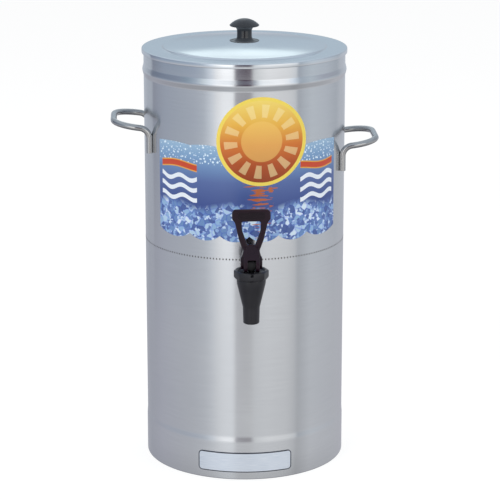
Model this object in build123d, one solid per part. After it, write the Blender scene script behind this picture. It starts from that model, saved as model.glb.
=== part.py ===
from build123d import *
import os
from math import acos, asin, atan, cos, pi, radians, sin, sqrt

# Iced tea dispenser: a rolled stainless steel drum whose upper half is the tank and whose
# lower half is an open stand, with a lift-off lid, two rod handles and a lever tap.
# Millimetres, +Z up, origin on the drum's axis at its base, the tap on the -Y side.

# Drum, a rolled and welded sheet
drum_r = 134.0
drum_h = 560.0
sheet_t = 0.8
rim_curl_r = 1.2
base_flare = 0.6
foot_corner_r = 1.5
foot_flange_w = 6.0

# Rolled beads round the drum
upper_bead_z = 532.5
upper_bead_w = 17.0
upper_bead_h = 1.7
lower_bead_z = 50.5
lower_bead_w = 23.0
lower_bead_h = 1.5

# Tank pan, pressed and seam welded inside the drum
pan_floor_z = 262.0
pan_corner_r = 6.0
seam_z = 301.0
seam_lap = 3.0
nest_gap = 0.05

# Lid, a pressed disc with a folded skirt
lid_overhang = 2.5
lid_skirt_h = 6.5
lid_hem_h = 3.2
lid_hem_bevel = 0.4
lid_corner_r = 1.5
lid_step_r = 110.0
lid_step_w = 3.0
lid_step_h = 2.0
lid_dome_h = 5.2
lid_land_r = 21.0
lid_seat_gap = 0.3

# Lid knob, moulded, with the screw and washer that hold it
knob_cap_r = 19.7
knob_edge_h = 21.5
knob_lip_w = 1.2
knob_lip_h = 1.5
knob_h = 30.1
knob_stem_r = 9.9
knob_stem_low = 7.0
knob_stem_high = 13.5
knob_base_r = 19.7
knob_base_t = 0.9
screw_r = 2.5
screw_bite = 17.0
screw_tip_gap = 1.0
screw_head_r = 4.8
screw_head_h = 3.2
screw_fit = 0.05
washer_r = 9.0
washer_t = 1.0

# Handles, bent from round rod and welded to the wall
rod_r = 4.1
weld_land = 0.5
handle_half_span = 51.5
handle_reach = 40.5
handle_rise = 6.2
handle_leg_h = 32.0
handle_bend_r = 14.0
handle_corner_r = 33.0
left_handle_z = 461.0
right_handle_z = 434.5

# Front label and name plate, thin sheets on the wall
label_t = 0.25
label_half_w = 114.0
label_low_z = 335.0
label_high_z = 452.0
label_low_sag = 7.5
label_high_swell = 2.0
label_waves = 6
sun_x = 16.0
sun_z = 460.0
sun_r = 58.0
plate_t = 0.8
plate_w = 123.0
plate_h = 27.4
plate_z = 24.2
plate_corner_r = 5.0
plate_turn = -2.5

# Tap body: a hollow cone on a threaded shank
tap_reach = 51.0
collar_z = 293.5
cone_top_r = 18.9
cone_rim_h = 6.0
cone_shoulder_r = 18.5
cone_low_z = 255.5
cone_low_r = 10.9
spout_tip_z = 234.3
spout_tip_r = 10.4
spout_chamfer = 1.0
spout_bore_r = 7.0
chamber_floor_z = 268.0
chamber_r = 11.5
mouth_r = 12.5
mouth_d = 6.0
shank_z = 281.0
shank_r = 8.0
shank_bore_r = 5.5
shank_neck_r = 9.5
flange_r = 13.5
flange_t = 4.0
shank_inside = 23.0
hole_clear = 0.4
thread_fit = 0.05

# Seals and nut on the shank
gasket_r = 12.5
gasket_t = 3.0
inner_washer_t = 1.2
nut_flats = 24.0
nut_t = 9.0

# Bonnet, the eight-sided ring nut that closes the tap body
bonnet_sides = 8
bonnet_r = 22.4
bonnet_h = 11.5
bonnet_chamfer = 2.6
bonnet_top_chamfer = 1.0
recess_r = 17.0
recess_d = 2.0
recess_chamfer = 1.0
bonnet_skirt_h = 5.5
notch_w = 3.6
notch_d = 4.5
notch_reach = 8.0

# Stem and silicone seat cup
stem_r = 4.0
stem_fit = 0.05
yoke_half_w = 4.9
yoke_r = 5.5
yoke_foot = 2.5
cup_r = 9.0
cup_h = 8.0
cup_lift = 0.3
cup_nose_r = 5.6
cup_nose_h = 2.5

# Lever, a loop that rocks on the bonnet by two cam cheeks; heights are above the pin
pin_r = 2.0
pin_fit = 0.05
cam_r = 11.0
cam_offset = 6.0
cam_gap = 0.3
cheek_in = 5.3
cheek_out = 10.0
boss_r = 7.8
boss_out = 13.8
slot_clear = 0.8
neck_h = 20.2
lever_t = 7.0
lever_edge_r = 1.6
bar_half_w = 24.5
bar_top = 69.5
bar_corner_r = 5.0
bar_foot = 57.5
bar_foot_r = 4.0
shoulder_half_w = 20.8
shoulder = 52.5
shoulder_r = 8.0
knee_half_w = 15.8
knee = 30.5
knee_r = 30.0
ankle_half_w = 11.0
ankle = 17.5
ankle_r = 10.0
heel_half_w = 10.0
heel = 10.0
heel_r = 1.0

# Finger hole in the lever's loop, and the tag on its bar
window_half_w = 12.3
window_top = 54.4
window_corner_r = 2.5
window_knee_half_w = 11.6
window_knee = 42.0
window_knee_r = 14.0
window_foot_half_w = 4.6
window_foot = 22.7
window_foot_r = 4.0
tag_half_w = 17.0
tag_half_h = 4.2
tag_corner_r = 2.0
tag_t = 0.6

# Places worked out from the sizes above
inner_r = drum_r - sheet_t
pan_r = inner_r - nest_gap
pan_inner_r = pan_r - sheet_t
base_r = drum_r + base_flare
tap_y = -(drum_r + tap_reach)
lid_top_z = drum_h + lid_seat_gap + sheet_t
lid_land_z = lid_top_z + lid_step_h + lid_dome_h
lid_r = drum_r + lid_overhang
rod_seat_r = drum_r + rod_r - weld_land
bonnet_top_z = collar_z + bonnet_h
recess_z = bonnet_top_z - recess_d
pin_z = recess_z + cam_gap + cam_r


def upright(z, r):
    """A point of an outline whose run is the height and whose rise is the radius."""
    return (r, 0, z)


def level(r, z):
    """A point of an outline whose run is the radius and whose rise is the height."""
    return (r, 0, z)


def jog(place, run0, rise0, run1, rise1, inset):
    """Two tangent arcs that take a sheet from one rise to another over a run.

    The sheet lies below the outline, and inset is how far below it this side of it is.
    """
    run = run1 - run0
    rise = rise1 - rise0
    up = 1 if rise > 0 else -1
    turn = 2 * atan(abs(rise) / run)
    bend = run / (2 * sin(turn))
    first = bend + up * inset
    last = bend - up * inset

    def near(part):
        angle = turn * part
        return place(run0 + first * sin(angle), rise0 + up * bend - up * first * cos(angle))

    def far(part):
        angle = turn * part
        return place(run1 - last * sin(angle), rise1 - up * bend + up * last * cos(angle))

    return [ThreePointArc(near(0), near(0.5), near(1)), ThreePointArc(far(1), far(0.5), far(0))]


def corner(place, run, rise, bend, inset, start, end):
    """The quarter arc of a folded corner, centred at run and rise, between two angles."""
    r = bend - inset
    points = []
    for angle in (start, (start + end) / 2, end):
        points.append(place(run + r * cos(radians(angle)), rise + r * sin(radians(angle))))
    return ThreePointArc(*points)


def turned(edges):
    """The solid that a closed outline in the XZ plane makes round the Z axis."""
    return revolve(Face(Wire(edges)), Axis.Z)


def polyline(points):
    """Straight edges through a list of radius and height pairs."""
    edges = []
    for start, end in zip(points, points[1:]):
        edges.append(Line(level(*start), level(*end)))
    return edges


def lathe(points):
    """A solid of revolution from radius and height pairs, closed back to the first."""
    return turned(polyline(points + points[:1]))


def drum_side(inset):
    """One side of the drum's wall, from the foot corner up to the rim."""
    low = lower_bead_z - lower_bead_w / 2
    low_top = lower_bead_z + lower_bead_w / 2
    high = upper_bead_z - upper_bead_w / 2
    high_top = upper_bead_z + upper_bead_w / 2
    low_crest = drum_r + lower_bead_h
    high_crest = drum_r + upper_bead_h
    rim = drum_h - rim_curl_r
    if inset > 0:
        rim -= sqrt(rim_curl_r ** 2 - (rim_curl_r - inset) ** 2)
    edges = [Line(upright(foot_corner_r, base_r - inset), upright(low, base_r - inset))]
    edges += jog(upright, low, base_r, lower_bead_z, low_crest, inset)
    edges += jog(upright, lower_bead_z, low_crest, low_top, drum_r, inset)
    edges.append(Line(upright(low_top, drum_r - inset), upright(high, drum_r - inset)))
    edges += jog(upright, high, drum_r, upper_bead_z, high_crest, inset)
    edges += jog(upright, upper_bead_z, high_crest, high_top, drum_r, inset)
    edges.append(Line(upright(high_top, drum_r - inset), upright(rim, drum_r - inset)))
    return edges


def rim_curl():
    """The rolled edge at the top of the drum, turned inwards."""
    open_angle = acos((rim_curl_r - sheet_t) / rim_curl_r)
    end = 2 * pi - open_angle
    points = []
    for angle in (0, end / 2, end):
        r = drum_r - rim_curl_r + rim_curl_r * cos(angle)
        points.append(level(r, drum_h - rim_curl_r + rim_curl_r * sin(angle)))
    return ThreePointArc(*points)


def foot_edges():
    """The inturned flange that the drum stands on, with its folded corner."""
    fold = base_r - foot_corner_r
    tip = base_r - foot_flange_w
    return [
        corner(level, fold, foot_corner_r, foot_corner_r, 0, -90, 0),
        Line(level(fold, 0), level(tip, 0)),
        Line(level(tip, 0), level(tip, sheet_t)),
        Line(level(tip, sheet_t), level(fold, sheet_t)),
        corner(level, fold, foot_corner_r, foot_corner_r, sheet_t, -90, 0),
    ]


def tap_hole():
    """The round hole through the wall and the pan that the shank passes."""
    hole = Cylinder(shank_r + hole_clear, 2 * shank_inside, rotation=(90, 0, 0))
    return Pos(0, -drum_r, shank_z) * hole


def body_shell():
    """The drum: beaded wall, rolled rim and inturned foot."""
    wall = turned(drum_side(0) + [rim_curl()] + drum_side(sheet_t) + foot_edges())
    return wall - tap_hole()


def tank_pan():
    """The tank's bottom, a pressed pan whose rim is welded to the drum above the tap."""
    under = pan_floor_z - sheet_t
    bend = under + pan_corner_r
    fold = pan_r - pan_corner_r
    top = seam_z + seam_lap
    edges = [
        Line(level(0, under), level(fold, under)),
        corner(level, fold, bend, pan_corner_r, 0, -90, 0),
        Line(level(pan_r, bend), level(pan_r, top)),
        Line(level(pan_r, top), level(pan_inner_r, top)),
        Line(level(pan_inner_r, top), level(pan_inner_r, bend)),
        corner(level, fold, bend, pan_corner_r, sheet_t, -90, 0),
        Line(level(fold, pan_floor_z), level(0, pan_floor_z)),
        Line(level(0, pan_floor_z), level(0, under)),
    ]
    return turned(edges) - tap_hole()


def handle(side, z):
    """A rod handle on the left (side -1) or right (side 1), its feet welded to the wall."""
    foot_x = sqrt(rod_seat_r ** 2 - handle_half_span ** 2)
    bar_x = drum_r + handle_reach
    half = []
    for x, height in ((foot_x, z - handle_leg_h), (foot_x, z), (bar_x, z + handle_rise)):
        half.append((side * x, -handle_half_span, height))
    route = half + [(x, -y, height) for x, y, height in reversed(half)]
    bends = [handle_bend_r, handle_corner_r, handle_corner_r, handle_bend_r]
    path = FilletPolyline(*route, radius=bends)
    rod = sweep(Plane(origin=path @ 0, z_dir=path % 0) * Circle(rod_r), path=path)
    foot = Cylinder(drum_r, 4 * handle_leg_h)
    return rod - Pos(0, 0, z) * foot


def on_wall(outline, inner, thickness):
    """A thin sheet that follows the wall, cut to an outline drawn in the XZ plane."""
    shell = Cylinder(inner + thickness, drum_h) - Cylinder(inner, drum_h)
    block = extrude(outline, amount=2 * drum_r, dir=(0, -1, 0))
    return (Pos(0, 0, drum_h / 2) * shell) & block


def wave_edges(z, sag):
    """A row of equal arcs across the label at one height, each bulging by sag."""
    step = 2 * label_half_w / label_waves
    edges = []
    for number in range(label_waves):
        left = -label_half_w + number * step
        middle = (left + step / 2, 0, z + sag)
        edges.append(ThreePointArc((left, 0, z), middle, (left + step, 0, z)))
    return edges


def front_label():
    """The printed film on the front: a wavy band with a round sun rising out of it."""
    edges = wave_edges(label_low_z, -label_low_sag) + wave_edges(label_high_z, label_high_swell)
    for x in (-label_half_w, label_half_w):
        edges.append(Line((x, 0, label_low_z), (x, 0, label_high_z)))
    sun = Plane(origin=(sun_x, 0, sun_z), x_dir=(1, 0, 0), z_dir=(0, -1, 0)) * Circle(sun_r)
    outline = Face(Wire(edges)) + sun
    return on_wall(outline, drum_r, label_t)


def name_plate():
    """The bare plate on the foot, curved to the wall and set a little left of the tap."""
    front = Plane(origin=(0, 0, plate_z), x_dir=(1, 0, 0), z_dir=(0, -1, 0))
    outline = front * RectangleRounded(plate_w, plate_h, plate_corner_r)
    return Rot(0, 0, plate_turn) * on_wall(outline, base_r, plate_t)


def at_tap(z=0):
    """A place on the tap's own axis at a height."""
    return Pos(0, tap_y, z)


def along_shank(r, start, end):
    """A round bar on the shank's axis between two distances in front of the drum's axis."""
    bar = Cylinder(r, start - end, rotation=(90, 0, 0))
    return Pos(0, -(start + end) / 2, shank_z) * bar


def tap_body():
    """The tap's hollow cone and spout, with its neck, flange and threaded shank."""
    cone = lathe([
        (0, collar_z), (cone_top_r, collar_z), (cone_shoulder_r, collar_z - cone_rim_h),
        (cone_low_r, cone_low_z), (spout_tip_r, spout_tip_z + spout_chamfer),
        (spout_tip_r - spout_chamfer, spout_tip_z), (0, spout_tip_z),
    ])
    face = drum_r + gasket_t
    neck = along_shank(shank_neck_r, -tap_y, face)
    flange = along_shank(flange_r, face + flange_t, face)
    shank = along_shank(shank_r, face, drum_r - shank_inside)
    solid = at_tap() * cone + neck + flange + shank
    hollow = lathe([
        (0, spout_tip_z), (spout_bore_r, spout_tip_z), (spout_bore_r, chamber_floor_z),
        (chamber_r, chamber_floor_z), (chamber_r, collar_z - mouth_d), (mouth_r, collar_z - mouth_d),
        (mouth_r, collar_z), (0, collar_z),
    ])
    bore = along_shank(shank_bore_r, -tap_y, drum_r - shank_inside)
    return solid - at_tap() * hollow - bore


def shank_gasket_outer():
    """The silicone ring between the tap's flange and the drum's curved wall."""
    face = drum_r + gasket_t
    ring = along_shank(gasket_r, face, drum_r - gasket_t) - along_shank(shank_r, face, 0)
    return ring - Pos(0, 0, shank_z) * Cylinder(drum_r, 4 * gasket_r)


def shank_gasket_inner():
    """The silicone ring that seals the pan's wall under the nut."""
    back = pan_inner_r - gasket_t
    ring = along_shank(gasket_r, drum_r, back) - along_shank(shank_r, drum_r, 0)
    return ring & Pos(0, 0, shank_z) * Cylinder(pan_inner_r, 4 * gasket_r)


def shank_washer():
    """The flat steel washer that the nut turns on."""
    start = pan_inner_r - gasket_t
    ring = along_shank(gasket_r, start, start - inner_washer_t)
    return ring - along_shank(shank_r + thread_fit, start, 0)


def shank_nut():
    """The six-sided nut inside the tank."""
    start = pan_inner_r - gasket_t - inner_washer_t
    hexagon = Plane(origin=(0, -start, shank_z), x_dir=(1, 0, 0), z_dir=(0, 1, 0))
    nut = extrude(hexagon * RegularPolygon(nut_flats / 2, 6, major_radius=False), nut_t)
    return nut - along_shank(shank_r + thread_fit, start, 0)


def tap_bonnet():
    """The eight-sided ring nut: its recess, front notch and the skirt that closes the body."""
    prism = extrude(RegularPolygon(bonnet_r, bonnet_sides), bonnet_h)
    flat = bonnet_r * cos(pi / bonnet_sides)
    dome = lathe([
        (0, 0), (flat - bonnet_chamfer / 2, 0), (bonnet_r, bonnet_chamfer),
        (bonnet_r, bonnet_h - bonnet_top_chamfer), (flat - bonnet_top_chamfer / 2, bonnet_h),
        (0, bonnet_h),
    ])
    ring = Pos(0, 0, collar_z) * (prism & dome)
    skirt = Pos(0, 0, collar_z - bonnet_skirt_h / 2) * Cylinder(mouth_r - thread_fit, bonnet_skirt_h)
    recess = lathe([
        (0, recess_z), (recess_r, recess_z), (recess_r, bonnet_top_z - recess_chamfer),
        (recess_r + recess_chamfer, bonnet_top_z), (0, bonnet_top_z),
    ])
    bore = Pos(0, 0, collar_z) * Cylinder(stem_r + stem_fit, 3 * bonnet_h)
    notch = Pos(0, -bonnet_r, bonnet_top_z) * Box(notch_w, 2 * notch_reach, 2 * notch_d)
    return at_tap() * (ring + skirt - recess - bore - notch)


def tap_stem():
    """The stem: a flat-sided yoke that the pin passes, on a round rod down to the cup."""
    foot = recess_z + yoke_foot
    side = Plane(origin=(-yoke_half_w, 0, 0), x_dir=(0, 1, 0), z_dir=(1, 0, 0))
    eye = side * Pos(0, pin_z) * Circle(yoke_r)
    web = side * Pos(0, (pin_z + foot) / 2) * Rectangle(2 * yoke_r, pin_z - foot)
    yoke = extrude(eye + web, 2 * yoke_half_w)
    low = chamber_floor_z + cup_lift + cup_h / 2
    rod = Pos(0, 0, (low + pin_z) / 2) * Cylinder(stem_r, pin_z - low)
    pin_hole = Pos(0, 0, pin_z) * Cylinder(pin_r + pin_fit, 4 * yoke_r, rotation=(0, 90, 0))
    return at_tap() * (yoke + rod - pin_hole)


def seat_cup():
    """The silicone cup on the stem's end that shuts the spout."""
    base = chamber_floor_z + cup_lift
    cup = lathe([
        (0, base - cup_nose_h), (cup_nose_r - cup_nose_h, base - cup_nose_h), (cup_nose_r, base),
        (cup_r, base), (cup_r, base + cup_h / 2), (cup_r - cup_h / 4, base + cup_h), (0, base + cup_h),
    ])
    low = base + cup_h / 2
    socket = Pos(0, 0, low + cup_h / 2) * Cylinder(stem_r, cup_h)
    return at_tap() * (cup - socket)


def mirrored_outline(corners):
    """A closed outline in the XZ plane from one half's corners: half width, height, rounding."""
    route = [(x, 0, z) for x, z, bend in corners]
    route += [(-x, 0, z) for x, z, bend in reversed(corners)]
    bends = [bend for x, z, bend in corners]
    bends += list(reversed(bends))
    return Face(Wire(FilletPolyline(*route, radius=bends, close=True).edges()))


def lever_loop():
    """The flat loop that the hand pulls, with its wide bar on top."""
    outer = mirrored_outline([
        (bar_half_w, bar_top, bar_corner_r), (bar_half_w, bar_foot, bar_foot_r),
        (shoulder_half_w, shoulder, shoulder_r), (knee_half_w, knee, knee_r),
        (ankle_half_w, ankle, ankle_r), (heel_half_w, heel, heel_r),
    ])
    window = mirrored_outline([
        (window_half_w, window_top, window_corner_r),
        (window_knee_half_w, window_knee, window_knee_r),
        (window_foot_half_w, window_foot, window_foot_r),
    ])
    loop = Pos(0, lever_t / 2, 0) * extrude(outer - window, amount=lever_t, dir=(0, -1, 0))
    front = loop.faces().sort_by(Axis.Y)[0]
    back = loop.faces().sort_by(Axis.Y)[-1]
    return fillet(front.edges() + back.edges(), lever_edge_r)


def lever_head():
    """The cheeks below the loop: cams in front of the pin, with a boss round each pin end."""
    side = Plane(origin=(-cheek_out, 0, 0), x_dir=(0, 1, 0), z_dir=(1, 0, 0))
    cam = Pos(-cam_offset, 0) * Circle(cam_r)
    neck = Pos(0, neck_h) * Circle(lever_t / 2)
    outline = side * make_hull(cam.edges() + neck.edges())
    cheeks = extrude(outline, 2 * cheek_out)
    bosses = Cylinder(boss_r, 2 * boss_out, rotation=(0, 90, 0))
    slot_top = yoke_r + slot_clear
    slot = Pos(0, 0, slot_top - 2 * cam_r) * Box(2 * cheek_in, 6 * cam_r, 4 * cam_r)
    return cheeks + bosses - slot


def tap_lever():
    """The lever: loop and head in one moulding, with the hole for the pin."""
    hole = Cylinder(pin_r, 4 * boss_out, rotation=(0, 90, 0))
    return at_tap(pin_z) * (lever_loop() + lever_head() - hole)


def lever_pin():
    """The steel pin through the cheeks and the stem."""
    return at_tap(pin_z) * Cylinder(pin_r, 2 * boss_out, rotation=(0, 90, 0))


def lever_tag():
    """The bare tag on the front of the lever's bar."""
    middle = (window_top + bar_top) / 2
    front = Plane(origin=(0, -lever_t / 2, middle), x_dir=(1, 0, 0), z_dir=(0, -1, 0))
    outline = front * RectangleRounded(2 * tag_half_w, 2 * tag_half_h, tag_corner_r)
    return at_tap(pin_z) * extrude(outline, tag_t)


def lid_side(inset):
    """One side of the lid's sheet from its middle to the rim's corner."""
    dome_r = lid_step_r - lid_step_w
    curve_r = (dome_r ** 2 - lid_land_r ** 2) / (2 * lid_dome_h)
    middle_r = (dome_r + lid_land_r) / 2
    middle_z = lid_land_z - (middle_r ** 2 - lid_land_r ** 2) / (2 * curve_r)
    high = lid_top_z + lid_step_h
    land = Line(level(0, lid_land_z - inset), level(lid_land_r, lid_land_z - inset))
    dome = ThreePointArc(
        level(lid_land_r, lid_land_z - inset), level(middle_r, middle_z - inset),
        level(dome_r, high - inset))
    step = jog(level, dome_r, high, lid_step_r, lid_top_z, inset)
    fold = lid_r - lid_corner_r
    brim = Line(level(lid_step_r, lid_top_z - inset), level(fold, lid_top_z - inset))
    bend = corner(level, fold, lid_top_z - lid_corner_r, lid_corner_r, inset, 0, 90)
    return [land, dome] + step + [brim, bend]


def lid_pan():
    """The lid's pressed disc: a raised middle, a flat brim and the turned-down corner."""
    fold_z = lid_top_z - lid_corner_r
    edges = lid_side(0) + lid_side(sheet_t) + [
        Line(level(0, lid_land_z), level(0, lid_land_z - sheet_t)),
        Line(level(lid_r, fold_z), level(lid_r - sheet_t, fold_z)),
    ]
    hole = Pos(0, 0, lid_land_z) * Cylinder(screw_r + hole_clear, 4 * sheet_t)
    return turned(edges) - hole


def lid_skirt():
    """The lid's rolled skirt, welded on below the corner, folded double at the hem."""
    hem_z = lid_top_z - lid_skirt_h
    fold_z = lid_top_z - lid_corner_r
    single = lid_r - sheet_t
    double = lid_r - 2 * sheet_t
    hem_top = hem_z + lid_hem_h
    return lathe([
        (lid_r, fold_z), (lid_r, hem_z + lid_hem_bevel), (lid_r - lid_hem_bevel, hem_z),
        (double + lid_hem_bevel, hem_z), (double, hem_z + lid_hem_bevel), (double, hem_top),
        (single, hem_top), (single, fold_z),
    ])


def lid_knob():
    """The moulded knob: thin round foot, waisted stem and lens-shaped cap."""
    cap_h = knob_h - knob_edge_h
    cap_curve = (knob_cap_r ** 2 + cap_h ** 2) / (2 * cap_h)
    half_turn = asin(knob_cap_r / cap_curve) / 2
    crown = level(cap_curve * sin(half_turn), knob_h - cap_curve * (1 - cos(half_turn)))
    foot_edge = level(knob_base_r, knob_base_t)
    waist_low = level(knob_stem_r, knob_stem_low)
    waist_high = level(knob_stem_r, knob_stem_high)
    lip = level(knob_cap_r - knob_lip_w, knob_edge_h - knob_lip_h)
    cap_edge = level(knob_cap_r, knob_edge_h)
    edges = [
        Line(level(0, 0), level(knob_base_r, 0)),
        Line(level(knob_base_r, 0), foot_edge),
        TangentArc(waist_low, foot_edge, tangent=(0, 0, -1)),
        Line(waist_low, waist_high),
        TangentArc(waist_high, lip, tangent=(0, 0, 1)),
        TangentArc(cap_edge, lip, tangent=(0, 0, -1)),
        ThreePointArc(cap_edge, crown, level(0, knob_h)),
        Line(level(0, knob_h), level(0, 0)),
    ]
    bore_d = screw_bite + screw_tip_gap
    bore = Pos(0, 0, bore_d / 2) * Cylinder(screw_r, bore_d)
    return Pos(0, 0, lid_land_z) * (turned(edges) - bore)


def knob_washer():
    """The washer under the lid."""
    top = lid_land_z - sheet_t
    ring = Cylinder(washer_r, washer_t) - Cylinder(screw_r + hole_clear, 2 * washer_t)
    return Pos(0, 0, top - washer_t / 2) * ring


def knob_screw():
    """The round-headed screw that goes up through the lid into the knob."""
    seat = lid_land_z - sheet_t - washer_t
    top = lid_land_z + screw_bite
    r = screw_r - screw_fit
    return lathe([
        (0, top), (r, top), (r, seat), (screw_head_r, seat), (screw_head_r, seat - screw_head_h / 2),
        (screw_head_r / 2, seat - screw_head_h), (0, seat - screw_head_h),
    ])


parts = {
    "body_shell": body_shell(),
    "tank_pan": tank_pan(),
    "left_handle": handle(-1, left_handle_z),
    "right_handle": handle(1, right_handle_z),
    "front_label": front_label(),
    "name_plate": name_plate(),
    "tap_body": tap_body(),
    "tap_bonnet": tap_bonnet(),
    "shank_gasket_outer": shank_gasket_outer(),
    "shank_gasket_inner": shank_gasket_inner(),
    "shank_washer": shank_washer(),
    "shank_nut": shank_nut(),
    "tap_stem": tap_stem(),
    "seat_cup": seat_cup(),
    "tap_lever": tap_lever(),
    "lever_pin": lever_pin(),
    "lever_tag": lever_tag(),
    "lid_pan": lid_pan(),
    "lid_skirt": lid_skirt(),
    "lid_knob": lid_knob(),
    "knob_washer": knob_washer(),
    "knob_screw": knob_screw(),
}

os.makedirs("parts", exist_ok=True)
for name, solid in parts.items():
    export_step(solid, "parts/" + name + ".step")
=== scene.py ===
import math
import bmesh
import bpy
from mathutils import Matrix, Vector


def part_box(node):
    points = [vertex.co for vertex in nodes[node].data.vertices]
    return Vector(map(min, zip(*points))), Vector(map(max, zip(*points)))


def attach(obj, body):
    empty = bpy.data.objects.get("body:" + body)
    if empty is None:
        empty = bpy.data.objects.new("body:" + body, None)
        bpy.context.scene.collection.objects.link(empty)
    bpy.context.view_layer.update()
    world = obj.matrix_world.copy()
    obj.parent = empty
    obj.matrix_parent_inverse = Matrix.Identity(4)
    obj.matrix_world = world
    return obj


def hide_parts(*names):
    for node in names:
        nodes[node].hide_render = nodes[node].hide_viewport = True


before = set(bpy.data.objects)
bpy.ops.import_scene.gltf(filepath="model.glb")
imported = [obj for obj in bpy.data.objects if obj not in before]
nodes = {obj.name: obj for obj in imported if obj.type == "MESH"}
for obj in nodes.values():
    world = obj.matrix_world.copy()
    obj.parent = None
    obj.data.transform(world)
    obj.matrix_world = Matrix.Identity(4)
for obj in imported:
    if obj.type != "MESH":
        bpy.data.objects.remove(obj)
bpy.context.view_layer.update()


# The camera of the photograph. It stands about 21 drum radii in front of the drum, 1.03 m up,
# and looks down at it. The drum is turned a little against it, so it stands a little to the left.
turn, pitch = math.radians(2.8), math.radians(15.044)
distance, height, aside = 2.78, 1.0284, 0.0074
focal_px, picture_px = 2115, 500


def placed(name, data):
    """A new object with this data, in the scene."""
    made = bpy.data.objects.new(name, data)
    bpy.context.scene.collection.objects.link(made)
    return made


lens = bpy.data.cameras.new("camera")
lens.sensor_width = 36.0
lens.lens = lens.sensor_width * focal_px / picture_px
lens.clip_start, lens.clip_end = 0.1, 50.0
camera = placed("camera", lens)
camera.location = (
    aside * math.cos(turn) - distance * math.sin(turn),
    -aside * math.sin(turn) - distance * math.cos(turn),
    height,
)
camera.rotation_euler = (math.pi / 2 - pitch, 0.0, -turn)
bpy.context.scene.camera = camera
bpy.context.scene.view_settings.view_transform = "Standard"


# The studio: white paper all round, as the camera sees it. In the metal it is a ring of soft
# boxes and grey gaps, with one soft box above and behind the drum.
def node(tree, kind, inputs=None, stops=(), **settings):
    """Adds a node with its settings, fills its ramp, and sets or links its inputs. A node that
    is given as an input stands for its first output."""
    made = tree.nodes.new(kind)
    for name, value in settings.items():
        setattr(made, name, value)
    for place, code in stops[2:]:
        made.color_ramp.elements.new(place)
    for number, (place, code) in enumerate(stops):
        made.color_ramp.elements[number].position = place
        made.color_ramp.elements[number].color = colour(code)
    for name, value in (inputs or {}).items():
        if isinstance(value, bpy.types.Node):
            value = next(socket for socket in value.outputs if socket.enabled)
        if isinstance(value, bpy.types.NodeSocket):
            tree.links.new(value, made.inputs[name])
        else:
            made.inputs[name].default_value = value
    return made


def colour(code):
    """A linear colour with alpha from an sRGB hex code."""
    parts = []
    for start in (0, 2, 4):
        value = int(code[start:start + 2], 16) / 255
        parts.append(value / 12.92 if value <= 0.04045 else ((value + 0.055) / 1.055) ** 2.4)
    return (*parts, 1.0)


def laid_over(tree, base, layers):
    """A colour with others laid over it in turn, each by its own share."""
    for share, ink in layers:
        base = node(tree, "ShaderNodeMix", {"Factor": share, "A": base, "B": ink},
                    data_type="RGBA")
    return base


def bearings(stops):
    """Turns bearings in degrees, 0 at the camera and 90 to the right, into ramp places."""
    return [((bearing + 180) / 360, code) for bearing, code in stops]


# The room's tones all round, from three heights. The wall's top mirrors the one at eye level,
# full of contrast, the wall's foot the quiet one below it, and the beads the one above it.
eye_level = bearings([
    (-180, "A1A7B0"), (-133, "9CA3AC"), (-131, "717784"), (-105, "828D9C"), (-78, "8893A1"),
    (-60, "8D97A6"), (-50, "96A0AC"), (-40, "C2C9D2"), (-33, "E4E4E4"), (-26, "F8F8F8"),
    (-15, "F8F8F8"), (-12.5, "656069"), (0, "524B54"), (4.5, "5C545D"), (8, "C2C4C4"),
    (24, "D8D8D8"), (50, "CFCFCF"), (58, "C4C7CA"), (60.5, "8E959E"), (68, "A1A9B1"),
    (80, "ABB3BA"), (104, "A4ABB3"), (126, "949BA3"), (137, "A3A8AF"), (180, "A1A7B0"),
])
low_room = bearings([
    (-180, "91929A"), (-150, "8E9098"), (-117, "9C9DA5"), (-67, "A8A9AD"), (-45, "B2B3B6"),
    (-30, "BFC1C4"), (-16, "C5C7CA"), (-13, "BABBBD"), (5, "BABBBC"), (9, "B8B9BB"),
    (22, "B8B9BB"), (46, "B3B4B6"), (57, "A9AAAC"), (60.5, "A0A1A3"), (80, "AFB0B3"),
    (130, "A5A6AA"), (180, "8F8F98"),
])
above_eye = bearings([
    (-180, "838A94"), (-130.7, "606777"), (-108.5, "6C7586"), (-81.6, "788191"),
    (-70, "7D8C99"), (-59.1, "99A4B0"), (-48.8, "C4CDD2"), (-41.3, "DBE2E8"), (-34, "F0F2F4"),
    (-19.7, "F0F2F4"), (-15, "E5E7E9"), (-10.4, "65646A"), (-3.4, "433441"), (3.6, "4E414D"),
    (9.4, "A3A6AB"), (14.1, "DDE1E3"), (17.7, "EEF0F0"), (39.5, "F0F0F1"), (47, "E7E9EB"),
    (54.9, "CCD5DE"), (63, "959EA8"), (77.5, "A6AFB6"), (97.3, "969AA4"), (122.5, "8C9099"),
    (180, "838A94"),
])

world = bpy.data.worlds.new("studio")
bpy.context.scene.world = world
world.use_nodes = True
tree = world.node_tree
tree.nodes.clear()
ray = node(tree, "ShaderNodeTexCoord").outputs["Generated"]
ray_x, ray_y, ray_z = node(tree, "ShaderNodeSeparateXYZ", {"Vector": ray}).outputs
front = node(tree, "ShaderNodeMath", {0: ray_y, 1: -1.0}, operation="MULTIPLY")
bearing = node(tree, "ShaderNodeMath", {0: ray_x, 1: front}, operation="ARCTAN2")
place = node(tree, "ShaderNodeMapRange", {
    "Value": bearing, "From Min": -math.pi, "From Max": math.pi})
sideways = node(tree, "ShaderNodeMath", {0: ray_x}, operation="ABSOLUTE")

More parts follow.
